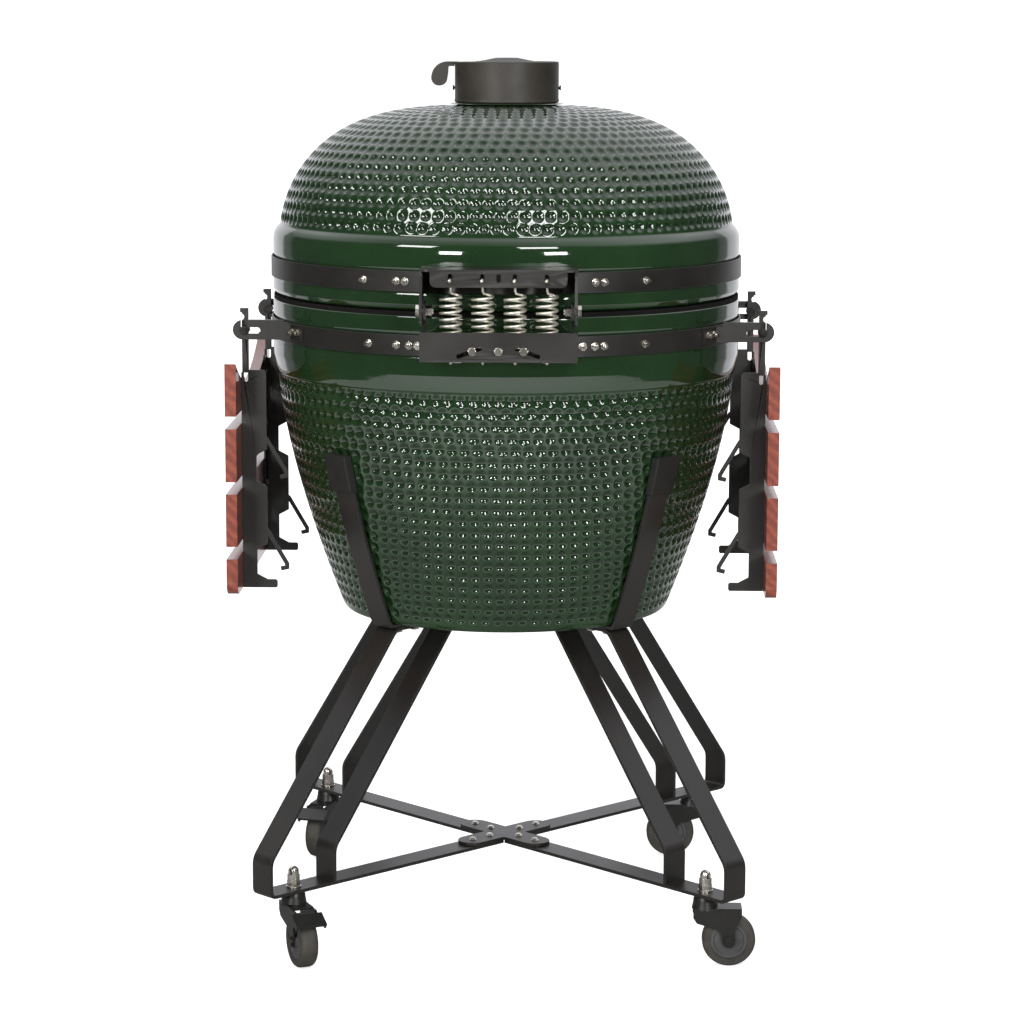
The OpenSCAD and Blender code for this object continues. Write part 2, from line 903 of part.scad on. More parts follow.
module caster_stems() {
    color([0.12, 0.12, 0.12])
        at_stems() {
            translate([0, 0, 79.5])
                cylinder(h = 54, r = stem_r, $fn = fine * 2);
            translate([0, 0, 78])
                cylinder(h = 3.8, r = 8, $fn = fine);
            translate([0, 0, 96.2])
                cylinder(h = 6.7, r1 = 17, r2 = 15, $fn = fine);
        }
}

module caster_nuts() {
    nut_z = leg_z + bar_t;
    hole = stem_r + 0.05;
    color([0.8, 0.78, 0.72])
        at_stems()
            difference() {
                union() {
                    translate([0, 0, nut_z + 0.1])
                        cylinder(h = 1.6, r = 11, $fn = fine);
                    translate([0, 0, nut_z + 1.7])
                        cylinder(h = 8, r = 9.6, $fn = 6);
                    translate([0, 0, nut_z + 9.7])
                        cylinder(h = 9, r = 9, $fn = 6);
                    translate([0, 0, nut_z + 18.5])
                        cylinder(h = 4.5, r = 7.5, $fn = fine);
                    translate([0, 0, nut_z + 23])
                        sphere(r = 7.5, $fn = fine);
                }
                translate([0, 0, nut_z - 1])
                    cylinder(h = 27, r = hole, $fn = fine);
            }
}

// A caster fork that trails towards +X, its stem axis at the origin
module fork(brake) {
    crown_z = 83;
    head_z = wheel_r;
    for (s = [-1, 1])
        translate([0, s > 0 ? fork_half : -fork_half - cheek_t, 0])
            translate([0, cheek_t, 0])
                rotate([90, 0, 0])
                    linear_extrude(cheek_t)
                        difference() {
                            union() {
                                translate([trail, head_z])
                                    circle(r = 9, $fn = fine);
                                polygon([[-17, crown_z + 2], [-17, crown_z - 11], [-12, crown_z - 19],
                                         [trail - 13, head_z + 16], [trail - 9, head_z],
                                         [trail + 9, head_z], [trail + 9, head_z + 20],
                                         [trail + 18, head_z + 36], [trail + 18, crown_z + 2]]);
                            }
                            translate([trail, head_z])
                                circle(r = axle_r + 0.02, $fn = fine * 2);
                            if (brake)
                                translate([trail + 13, crown_z - 4])
                                    circle(r = 2.52, $fn = fine * 2);
                        }
    difference() {
        union() {
            translate([-17, -fork_half - cheek_t, crown_z])
                cube([trail + (brake ? 20 : 35), 2 * (fork_half + cheek_t), 3]);
            translate([0, 0, crown_z])
                cylinder(h = 12.8, r1 = 19, r2 = 16.5, $fn = fine * 2);
        }
        translate([0, 0, crown_z - 2])
            cylinder(h = 20, r = stem_r + run_gap, $fn = fine * 2);
    }
    translate([trail, 0, head_z])
        rotate([90, 0, 0])
            cylinder(h = 2 * (fork_half + cheek_t) + 4, r = axle_r, center = true, $fn = fine * 2);
    for (s = [0, 180])
        translate([trail, 0, head_z])
            rotate([90, 0, s])
                translate([0, 0, fork_half + cheek_t + 0.05])
                    cylinder(h = 3, r = 7, $fn = fine);
    if (brake)
        translate([trail + 13, 0, crown_z - 4])
            rotate([90, 0, 0])
                cylinder(h = 2 * (fork_half + cheek_t) + 3, r = 2.5, center = true, $fn = fine * 2);
}

module place_caster(sx, sy, heading) {
    at_stem(sx, sy)
        rotate([0, 0, heading])
            children();
}

module fork_fl() {
    color([0.1, 0.1, 0.1])
        place_caster(-1, -1, heading_fl)
            fork(true);
}

module fork_fr() {
    color([0.1, 0.1, 0.1])
        place_caster(1, -1, heading_fr)
            fork(false);
}

module fork_rl() {
    color([0.1, 0.1, 0.1])
        place_caster(-1, 1, heading_rl)
            fork(true);
}

module fork_rr() {
    color([0.1, 0.1, 0.1])
        place_caster(1, 1, heading_rr)
            fork(false);
}

// The moulded hub, with a groove between its rim and its boss
module hub() {
    half = wheel_w / 2;
    color([0.35, 0.35, 0.36])
        translate([trail, 0, wheel_r])
            rotate([90, 0, 0])
                rotate_extrude($fn = smooth)
                    polygon([[axle_r + run_gap, -half - 1.2], [9, -half - 1.2], [10, -half + 3], [21, -half + 3],
                             [22, -half + 1], [wheel_r - 11.6, -half + 1], [wheel_r - 11.6, half - 1],
                             [22, half - 1], [21, half - 3], [10, half - 3], [9, half + 1.2],
                             [axle_r + run_gap, half + 1.2]]);
}

module tyre() {
    half = wheel_w / 2;
    color([0.16, 0.15, 0.14])
        translate([trail, 0, wheel_r])
            rotate([90, 0, 0])
                rotate_extrude($fn = smooth)
                    polygon([[wheel_r - 11.5, -half], [wheel_r - 3, -half], [wheel_r - 0.8, -half + 2.5],
                             [wheel_r, -half + 6], [wheel_r, half - 6], [wheel_r - 0.8, half - 2.5],
                             [wheel_r - 3, half], [wheel_r - 11.5, half]]);
}

module hub_fl() {
    place_caster(-1, -1, heading_fl)
        hub();
}

module hub_fr() {
    place_caster(1, -1, heading_fr)
        hub();
}

module hub_rl() {
    place_caster(-1, 1, heading_rl)
        hub();
}

module hub_rr() {
    place_caster(1, 1, heading_rr)
        hub();
}

module tyre_fl() {
    place_caster(-1, -1, heading_fl)
        tyre();
}

module tyre_fr() {
    place_caster(1, -1, heading_fr)
        tyre();
}

module tyre_rl() {
    place_caster(-1, 1, heading_rl)
        tyre();
}

module tyre_rr() {
    place_caster(1, 1, heading_rr)
        tyre();
}

// Brake pedal on its pin behind the crown
module pedal() {
    pin_x0 = trail + 13;
    pin_z0 = 79;
    inner = fork_half - 0.5;
    color([0.13, 0.13, 0.13])
        difference() {
            union() {
                translate([0, inner, 0])
                    rotate([90, 0, 0])
                        linear_extrude(2 * inner) {
                            translate([pin_x0, pin_z0])
                                circle(r = 3.8, $fn = fine);
                            polygon([[pin_x0, pin_z0 + 3.6], [pin_x0 + 8, pin_z0 + 2], [pin_x0 + 8, pin_z0 - 2],
                                     [pin_x0, pin_z0 - 3.6]]);
                        }
                translate([0, 22.5, 0])
                    rotate([90, 0, 0])
                        linear_extrude(45)
                            polygon([[pin_x0 + 7.5, pin_z0 + 3.5], [pin_x0 + 30, pin_z0 - 8],
                                     [pin_x0 + 28.5, pin_z0 - 11.5], [pin_x0 + 7.5, pin_z0 - 2]]);
                for (s = [-1, 1])
                    translate([0, s * 21 + 1.5, 0])
                        rotate([90, 0, 0])
                            linear_extrude(3)
                                polygon([[pin_x0 + 8, pin_z0 + 3], [pin_x0 + 28, pin_z0 - 7],
                                         [pin_x0 + 26, pin_z0 - 15], [pin_x0 + 12, pin_z0 - 9]]);
            }
            translate([pin_x0, 0, pin_z0])
                rotate([90, 0, 0])
                    cylinder(h = 60, r = 2.55, center = true, $fn = fine * 2);
        }
}

module pedal_fl() {
    place_caster(-1, -1, heading_fl)
        pedal();
}

module pedal_rl() {
    place_caster(-1, 1, heading_rl)
        pedal();
}

// ---------------- side shelves ----------------

// Boards of the shelf at +X, hanging
module boards() {
    half = board_len / 2;
    top = board_rows[0];
    sag_r = (half * half + board_sag * board_sag) / (2 * board_sag);
    corner = 20;
    color([0.5, 0.24, 0.13]) {
        yz_plate(board_x, board_t)
            difference() {
                translate([-half, top[0]])
                    square([board_len, top[1] - top[0]]);
                translate([0, top[1] + sag_r - board_sag])
                    circle(r = sag_r, $fn = 180);
            }
        for (i = [1, 2])
            translate([board_x, -half, board_rows[i][0]])
                cube([board_t, board_len, board_rows[i][1] - board_rows[i][0]]);
        yz_plate(board_x, board_t) {
            translate([-half, board_rows[3][0] + corner])
                square([board_len, board_rows[3][1] - board_rows[3][0] - corner]);
            translate([-half + corner, board_rows[3][0]])
                square([board_len - 2 * corner, corner + 1]);
            for (s = [-1, 1])
                translate([s * (half - corner), board_rows[3][0] + corner])
                    circle(r = corner, $fn = fine * 2);
        }
    }
}

module web_profile() {
    edge = 340;
    deep = 355;
    difference() {
        polygon([[board_x - 0.1, 517], [board_x - 0.1, 830], [board_x - 4, 834], [edge + 3, 834], [edge, 831],
                 [edge, 719], [deep, 711], [deep, 673], [edge, 665], [edge, 581],
                 [deep, 573], [deep, 537], [edge, 529], [328, 529], [326, 527], [326, 519], [328, 517]]);
        translate([board_x - 7, 820])
            circle(r = 3, $fn = fine);
        translate([board_x - 10, 820])
            square([6, 30]);
    }
    for (z = [685, 551])
        polygon(strip_outline([[346, z + 53], [340, z + 49], [312, z + 1], [312, z - 4], [321, z - 6]], 6));
    difference() {
        union() {
            translate([pin_x - 4.85, 830])
                square([9.7, 93]);
            translate([pin_x, pin_z])
                circle(r = 6.5, $fn = fine);
            translate([pin_x - 4.85, 917])
                square([12, 6]);
        }
        translate([pin_x + 5.8, 910.5])
            circle(r = 4.6, $fn = fine);
    }
}

module bracket(y) {
    flange_w = 20;
    xz_plate(y, sheet_t)
        difference() {
            web_profile();
            translate([pin_x, pin_z])
                circle(r = pin_r + run_gap, $fn = fine * 2);
        }
    translate([board_x - sheet_t - 0.1, y > 0 ? y - flange_w + 1 : y + 1, 522])
        cube([sheet_t, flange_w + 1, 300]);
}

module brackets() {
    color([0.12, 0.12, 0.13]) {
        bracket(-web_y);
        bracket(web_y - sheet_t);
    }
}

module shelf_screws() {
    color([0.7, 0.7, 0.7])
        for (y = [-web_y + 12, web_y - 12])
            for (row = board_rows)
                translate([board_x - sheet_t - 0.2, y, (row[0] + row[1]) / 2 - (row == board_rows[0] ? 16 : 0)])
                    rotate([0, -90, 0])
                        cylinder(h = 2.4, r1 = 5, r2 = 3, $fn = fine);
}

module pins() {
    color([0.2, 0.2, 0.2])
        for (s = [-1, 1])
            translate([pin_x, s * (web_y - sheet_t - 4), pin_z])
                rotate([-90 * s, 0, 0]) {
                    cylinder(h = 24, r = pin_r, $fn = fine * 2);
                    cylinder(h = 3.9, r = 6.5, $fn = fine);
                    translate([0, 0, arm_y - web_y + sheet_t + 4.2])
                        cylinder(h = 2.5, r = 6.5, $fn = fine);
                }
}

module right_boards() {
    boards();
}

module right_brackets() {
    brackets();
}

module right_screws() {
    shelf_screws();
}

module right_pins() {
    pins();
}

module left_boards() {
    mirror([1, 0, 0])
        boards();
}

module left_brackets() {
    mirror([1, 0, 0])
        brackets();
}

module left_screws() {
    mirror([1, 0, 0])
        shelf_screws();
}

module left_pins() {
    mirror([1, 0, 0])
        pins();
}

ceramic_base();
ceramic_lid();
firebox();
fire_ring();
charcoal_grate();
cooking_grate();
base_gasket();
lid_gasket();
base_band();
lid_band();
base_band_bolts();
lid_band_bolts();
hinge_lower_bracket();
hinge_upper_bracket();
hinge_pivot_bolts();
hinge_springs();
hinge_box_bolts();
shelf_arms();
shelf_arm_bolts();
cap_body();
damper_disc();
cap_screws();
damper_rivet();
thermometer_case();
thermometer_dial();
handle_grip();
handle_posts();
draft_frame();
draft_door();
legs();
cradle_arms();
cradle_pads();
cradle_bolts();
cross_plate();
cross_plate_screws();
caster_stems();
caster_nuts();
right_boards();
right_brackets();
right_screws();
right_pins();
left_boards();
left_brackets();
left_screws();
left_pins();
fork_fl();
fork_fr();
fork_rl();
fork_rr();
hub_fl();
hub_fr();
hub_rl();
hub_rr();
tyre_fl();
tyre_fr();
tyre_rl();
tyre_rr();
pedal_fl();
pedal_rl();
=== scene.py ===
"""Looks, light and camera for the kamado grill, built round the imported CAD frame."""
import json
import math

import bpy
import numpy as np
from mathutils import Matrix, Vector


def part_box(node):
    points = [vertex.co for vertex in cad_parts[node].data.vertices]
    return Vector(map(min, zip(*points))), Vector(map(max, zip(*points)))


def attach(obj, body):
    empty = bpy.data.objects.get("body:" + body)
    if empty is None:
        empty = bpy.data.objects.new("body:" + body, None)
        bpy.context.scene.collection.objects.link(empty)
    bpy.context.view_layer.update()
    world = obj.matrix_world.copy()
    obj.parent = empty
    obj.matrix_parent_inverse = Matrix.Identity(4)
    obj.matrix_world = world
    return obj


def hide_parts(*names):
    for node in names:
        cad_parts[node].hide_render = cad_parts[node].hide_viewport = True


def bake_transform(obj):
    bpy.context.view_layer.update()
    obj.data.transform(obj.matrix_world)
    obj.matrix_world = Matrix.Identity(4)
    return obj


MM = 0.001

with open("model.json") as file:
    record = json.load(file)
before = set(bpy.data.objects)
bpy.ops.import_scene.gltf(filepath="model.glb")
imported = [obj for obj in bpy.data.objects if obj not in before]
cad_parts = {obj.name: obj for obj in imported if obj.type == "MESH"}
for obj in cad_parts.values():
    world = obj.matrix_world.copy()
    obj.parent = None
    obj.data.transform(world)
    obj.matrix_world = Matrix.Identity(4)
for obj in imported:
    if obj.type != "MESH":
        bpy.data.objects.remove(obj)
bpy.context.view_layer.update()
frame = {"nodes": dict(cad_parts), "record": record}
record = frame["record"]
nodes = frame["nodes"]

# ---------------------------------------------------------------- small helpers


def srgb(r, g, b):
    """Linear colour from 0-255 display values."""
    def lin(c):
        c /= 255.0
        return c / 12.92 if c <= 0.04045 else ((c + 0.055) / 1.055) ** 2.4
    return (lin(r), lin(g), lin(b), 1.0)


class Graph:
    """A node material being wired up."""

    def __init__(self, name):
        self.material = bpy.data.materials.new(name)
        self.material.use_nodes = True
        self.tree = self.material.node_tree
        self.shader = self.tree.nodes["Principled BSDF"]

    def node(self, kind, **values):
        n = self.tree.nodes.new(kind)
        for key, value in values.items():
            if hasattr(n, key):
                setattr(n, key, value)
            else:
                n.inputs[key.replace("_", " ")].default_value = value
        return n

    def link(self, a, b):
        self.tree.links.new(a, b)

    def set(self, **values):
        for key, value in values.items():
            self.shader.inputs[key.replace("_", " ")].default_value = value

    def coords(self, scale=(1, 1, 1)):
        tex = self.node("ShaderNodeTexCoord")
        mapping = self.node("ShaderNodeMapping")
        mapping.inputs["Scale"].default_value = scale
        self.link(tex.outputs["Object"], mapping.inputs["Vector"])
        return mapping.outputs["Vector"]

    def noise(self, vector, scale, detail=3.0, roughness=0.55, distortion=0.0):
        n = self.node("ShaderNodeTexNoise")
        n.inputs["Scale"].default_value = scale
        n.inputs["Detail"].default_value = detail
        n.inputs["Roughness"].default_value = roughness
        n.inputs["Distortion"].default_value = distortion
        self.link(vector, n.inputs["Vector"])
        return n.outputs["Fac"]

    def ramp(self, factor, stops):
        n = self.node("ShaderNodeValToRGB")
        ramp = n.color_ramp
        while len(ramp.elements) < len(stops):
            ramp.elements.new(0.5)
        for element, (place, colour) in zip(ramp.elements, stops):
            element.position = place
            element.color = colour
        self.link(factor, n.inputs["Fac"])
        return n.outputs["Color"]

    def spread(self, factor, low, high, target):
        """Maps factor 0-1 to low-high on a shader input."""
        n = self.node("ShaderNodeMapRange")
        n.inputs["To Min"].default_value = low
        n.inputs["To Max"].default_value = high
        self.link(factor, n.inputs["Value"])
        self.link(n.outputs["Result"], self.shader.inputs[target])

    def bump(self, height, strength, distance):
        n = self.node("ShaderNodeBump")
        n.inputs["Strength"].default_value = strength
        n.inputs["Distance"].default_value = distance
        self.link(height, n.inputs["Height"])
        self.link(n.outputs["Normal"], self.shader.inputs["Normal"])
        return n


def grey(v):
    return (v, v, v, 1.0)


# ---------------------------------------------------------------- materials


def powder_coat(name, dark, light, roughness, grain=900):
    g = Graph(name)
    vec = g.coords()
    mottle = g.noise(vec, 14, 4)
    g.link(g.ramp(mottle, [(0.3, dark), (0.75, light)]), g.shader.inputs["Base Color"])
    fine = g.noise(vec, grain, 2)
    g.spread(mottle, roughness - 0.05, roughness + 0.08, "Roughness")
    g.bump(fine, 0.12, 0.0004)
    g.set(Specular_IOR_Level=0.5)
    return g.material


def cast(name, dark, light, roughness, grain, depth):
    g = Graph(name)
    vec = g.coords()
    big = g.noise(vec, 22, 5)
    g.link(g.ramp(big, [(0.3, dark), (0.72, light)]), g.shader.inputs["Base Color"])
    g.spread(g.noise(vec, 60, 3), roughness - 0.08, roughness + 0.1, "Roughness")
    g.bump(g.noise(vec, grain, 3), 0.35, depth)
    g.set(Specular_IOR_Level=0.4)
    return g.material


def plated(name, dark, light, roughness, scale=70, metal=1.0):
    g = Graph(name)
    vec = g.coords()
    cloud = g.noise(vec, scale, 4)
    g.link(g.ramp(cloud, [(0.3, dark), (0.7, light)]), g.shader.inputs["Base Color"])
    g.spread(cloud, roughness - 0.07, roughness + 0.1, "Roughness")
    g.bump(g.noise(vec, 1500, 2), 0.08, 0.0002)
    g.set(Metallic=metal)
    return g.material


def brushed(name, dark, light, stretch):
    g = Graph(name)
    vec = g.coords(stretch)
    lines = g.noise(vec, 60, 4, 0.7)
    g.link(g.ramp(lines, [(0.25, dark), (0.75, light)]), g.shader.inputs["Base Color"])
    g.spread(lines, 0.25, 0.45, "Roughness")
    g.bump(lines, 0.15, 0.0002)
    g.set(Metallic=1.0)
    return g.material


GLAZE_DARK, GLAZE_GREEN, GLAZE_LIGHT = srgb(21, 40, 21), srgb(26, 48, 25), srgb(33, 57, 32)
# Painted shade: the darker green painted into the dimples
GLAZE_DIMPLE_SHADE = srgb(18, 35, 17)


def glaze():
    """Glossy green glaze in soft clouds, with painted shade in the dimples, darkest at each dimple's
    centre.
    """
    g = Graph("green_glaze")
    vec = g.coords()
    cloud = g.noise(vec, 5, 5, 0.6, 0.4)
    base = g.ramp(cloud, [(0.3, GLAZE_DARK), (0.55, GLAZE_GREEN), (0.8, GLAZE_LIGHT)])
    depth = g.node("ShaderNodeAttribute", attribute_name="dimple")
    # Painted shade: the colour is mixed towards the darker green by how deep the point lies in its dimple
    mix = g.node("ShaderNodeMix", data_type="RGBA")
    g.link(depth.outputs["Fac"], mix.inputs["Factor"])
    g.link(base, mix.inputs["A"])
    mix.inputs["B"].default_value = GLAZE_DIMPLE_SHADE
    g.link(mix.outputs["Result"], g.shader.inputs["Base Color"])
    g.spread(g.noise(vec, 30, 4), 0.03, 0.07, "Roughness")
    g.bump(g.noise(vec, 38, 3), 0.05, 0.003)
    g.set(IOR=1.55, Coat_Weight=0.45, Coat_Roughness=0.02, Coat_IOR=1.5)
    return g.material


def bare_ceramic():
    g = Graph("bare_ceramic")
    vec = g.coords()
    speck = g.noise(vec, 260, 4, 0.7)
    stops = [(0.3, srgb(196, 176, 146)), (0.7, srgb(222, 206, 178))]
    g.link(g.ramp(speck, stops), g.shader.inputs["Base Color"])
    g.spread(speck, 0.75, 0.9, "Roughness")
    g.bump(speck, 0.4, 0.0008)
    return g.material


def felt():
    g = Graph("felt")
    vec = g.coords()
    fibre = g.noise(vec, 900, 5, 0.75)
    g.link(g.ramp(fibre, [(0.3, srgb(9, 8, 8)), (0.75, srgb(27, 24, 22))]), g.shader.inputs["Base Color"])
    g.bump(fibre, 0.8, 0.001)
    g.set(Roughness=0.95, Specular_IOR_Level=0.15)
    return g.material


def wood(name, along):
    """Oiled reddish hardwood with its grain along one axis ('X' or 'Y')."""
    g = Graph(name)
    stretch = (1, 0.06, 1) if along == "Y" else (0.06, 1, 1)
    vec = g.coords(stretch)
    rings = g.node("ShaderNodeTexWave", wave_type="BANDS", bands_direction="DIAGONAL")
    rings.inputs["Scale"].default_value = 34
    rings.inputs["Distortion"].default_value = 4
    rings.inputs["Detail"].default_value = 3
    rings.inputs["Detail Scale"].default_value = 1.4
    g.link(vec, rings.inputs["Vector"])
    fibre = g.noise(vec, 260, 5, 0.65)
    mix = g.node("ShaderNodeMix", data_type="FLOAT")
    mix.inputs["Factor"].default_value = 0.72
    g.link(rings.outputs["Fac"], mix.inputs["A"])
    g.link(fibre, mix.inputs["B"])
    grain = mix.outputs["Result"]
    stops = [(0.2, srgb(92, 36, 26)), (0.45, srgb(116, 48, 33)),
             (0.62, srgb(130, 58, 37)), (0.85, srgb(152, 76, 46))]
    g.link(g.ramp(grain, stops), g.shader.inputs["Base Color"])
    g.spread(grain, 0.32, 0.5, "Roughness")
    g.bump(grain, 0.18, 0.0006)
    g.set(Coat_Weight=0.9, Coat_Roughness=0.16)
    return g.material


def rubber(name, dark, light):
    g = Graph(name)
    vec = g.coords()
    dust = g.noise(vec, 35, 5, 0.65)
    g.link(g.ramp(dust, [(0.35, dark), (0.75, light)]), g.shader.inputs["Base Color"])
    g.spread(dust, 0.5, 0.75, "Roughness")
    g.bump(g.noise(vec, 700, 3), 0.2, 0.0005)
    return g.material


MATERIALS = {
    "green_glaze": glaze(),
    "inner_ceramic": bare_ceramic(),
    "grate_iron": cast("grate_iron", srgb(34, 34, 35), srgb(58, 57, 56), 0.6, 500, 0.0008),
    "grate_steel": brushed("grate_steel", srgb(150, 150, 152), srgb(205, 205, 206), (1, 0.05, 1)),
    "felt": felt(),
    "black_powder": powder_coat("black_powder", srgb(25, 24, 22), srgb(35, 33, 30), 0.36),
    "zinc": plated("zinc", srgb(176, 170, 158), srgb(232, 228, 220), 0.24),
    "spring_zinc": plated("spring_zinc", srgb(206, 200, 184), srgb(244, 240, 228), 0.36, 120, 0.75),
    "cap_iron": cast("cap_iron", srgb(41, 38, 33), srgb(56, 52, 46), 0.48, 800, 0.0003),
    "dark_screw": plated("dark_screw", srgb(30, 30, 30), srgb(62, 60, 58), 0.4),
    "stainless": brushed("stainless", srgb(150, 150, 150), srgb(206, 206, 206), (0.05, 1, 1)),
    "dial_face": powder_coat("dial_face", srgb(226, 226, 220), srgb(240, 240, 236), 0.4),
    "shelf_wood": wood("shelf_wood", "Y"),
    "grip_wood": wood("grip_wood", "X"),
    "pad_rubber": rubber("pad_rubber", srgb(14, 14, 12), srgb(27, 26, 23)),
    "caster_black": powder_coat("caster_black", srgb(18, 18, 17), srgb(30, 29, 27), 0.34),
    "hub_grey": rubber("hub_grey", srgb(56, 56, 57), srgb(78, 77, 77)),
    "tyre_rubber": rubber("tyre_rubber", srgb(44, 41, 36), srgb(66, 62, 54)),
}

# Bevel width in mm for each slot whose edges are rounded
BEVEL = {"black_powder": 0.6, "shelf_wood": 1.6, "cap_iron": 0.6, "pad_rubber": 1.5, "caster_black": 0.5,
         "zinc": 0.35, "stainless": 0.5, "hub_grey": 0.5, "tyre_rubber": 0.0, "dark_screw": 0.3}
SMOOTH_ANGLE = math.radians(32)
WELD_GAP = 0.00002
NODE_LOOKS = {"handle_grip": "grip_wood"}


def finish_node(name, slot_name):
    """The look of a CAD node. Nodes with an edge width get rounded edges, the others keep their shading."""
    o = nodes[name]
    o.data.materials.clear()
    o.data.materials.append(MATERIALS[NODE_LOOKS.get(name, slot_name)])
    width = BEVEL.get(slot_name, 0.0)
    if not width:
        return
    weld = o.modifiers.new("weld", "WELD")
    weld.merge_threshold = WELD_GAP
    bevel = o.modifiers.new("bevel", "BEVEL")
    bevel.width = width * MM
    bevel.segments = 2
    bevel.limit_method = "ANGLE"
    bevel.angle_limit = SMOOTH_ANGLE
    bevel.use_clamp_overlap = True
    for polygon in o.data.polygons:
        polygon.use_smooth = True
    even = o.modifiers.new("even_shading", "WEIGHTED_NORMAL")
    even.mode = "FACE_AREA"
    even.weight = 100
    even.keep_sharp = False


def smooth_by_angle(o, angle):
    bpy.context.view_layer.objects.active = o
    for other in bpy.context.selected_objects:
        other.select_set(False)
    o.select_set(True)
    bpy.ops.object.shade_smooth_by_angle(angle=angle)


for part in record["subparts"]:
    finish_node(part["node"], part["material_slot"])

# ---------------------------------------------------------------- mesh building


def new_object(name, verts, faces, material, smooth=True):
    mesh = bpy.data.meshes.new(name)
    mesh.from_pydata([tuple(v) for v in verts], [], [tuple(f) for f in faces])
    mesh.validate()
    mesh.update()
    mesh.materials.append(MATERIALS[material])
    if smooth:
        for polygon in mesh.polygons:
            polygon.use_smooth = True
    o = bpy.data.objects.new(name, mesh)
    bpy.context.scene.collection.objects.link(o)
    return o


base_low, base_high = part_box("ceramic_base")
lid_low, lid_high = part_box("ceramic_lid")
base_band, base_band_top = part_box("base_band")
lid_band, lid_band_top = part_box("lid_band")

# The dimpled skin: mesh fineness, then the size and the spacing of the dimples
COLUMNS = 1200
SKIN_STEP = 1.9 * MM
PLAIN_STEP = 7 * MM
SKIN_SMOOTH_ANGLE = math.radians(50)
DIMPLE_R = 7.4 * MM
DIMPLE_DEPTH = 3.3 * MM
DIMPLE_WANDER = 0.35 * MM
DIMPLE_SIZE_SPREAD = 0.035
DIMPLE_SEED = 11
BASE_PITCH, BASE_ROWS = 17.8, 16.9
LID_PITCH, LID_ROWS = 17.4, 17.0
# The shallow seat of a steel band in a rim, in mm
GROOVE_DEPTH, GROOVE_SLOPE = 1.6, 6


def resample(points, first, last):
    """Points along a polyline: close together between first and last, for the dimples, sparse elsewhere."""
    p = np.array(points, float)
    lengths = np.r_[0, np.cumsum(np.linalg.norm(np.diff(p, axis=0), axis=1))]
    count = int(round((last - first) / SKIN_STEP)) + 1
    plain = [lengths[0]]
    for a, b in zip(lengths, lengths[1:]):
        pieces = max(1, int(round((b - a) / PLAIN_STEP)))
        plain += list(a + (b - a) * np.arange(1, pieces + 1) / pieces)
    plain = np.array(plain)
    plain = plain[(plain < first - SKIN_STEP / 2) | (plain > last + SKIN_STEP / 2)]
    along = np.sort(np.r_[plain, np.linspace(first, last, count)])
    return np.c_[np.interp(along, lengths, p[:, 0]), np.interp(along, lengths, p[:, 1])], along


def dimple_depth(radius, along, theta, first, last, pitch, row_pitch):
    """How deep each skin point lies, 0 to 1, for staggered rows of round dimples from first to last."""
    rows = int((last - first) / row_pitch)
    spacing = (last - first) / rows
    out = np.zeros((len(along), len(theta)))
    jitter = np.random.default_rng(DIMPLE_SEED)
    for i in range(rows + 1):
        centre = first + i * spacing
        r_row = np.interp(centre, along, radius)
        count = max(6, int(round(2 * math.pi * r_row / pitch)))
        near = np.where(np.abs(along - centre) < DIMPLE_R * 1.15)[0]
        if not len(near):
            continue
        slot_angle = 2 * math.pi / count
        phase = (i % 2) * slot_angle / 2
        index = np.round((theta - phase) / slot_angle).astype(int) % count
        shift = jitter.normal(0, DIMPLE_WANDER, count)[index]
        lift = jitter.normal(0, DIMPLE_WANDER, count)[index]
        size = 1 + jitter.normal(0, DIMPLE_SIZE_SPREAD, count)[index]
        turn = theta - phase + math.pi * 4
        offset = turn - np.round(turn / slot_angle) * slot_angle
        across = offset * r_row + shift
        up = along[near][:, None] - centre + lift[None, :]
        t = np.sqrt(across[None, :] ** 2 + up ** 2) / (DIMPLE_R * size[None, :])
        out[near] = np.maximum(out[near], np.clip(1 - t ** 2, 0, 1))
    return out


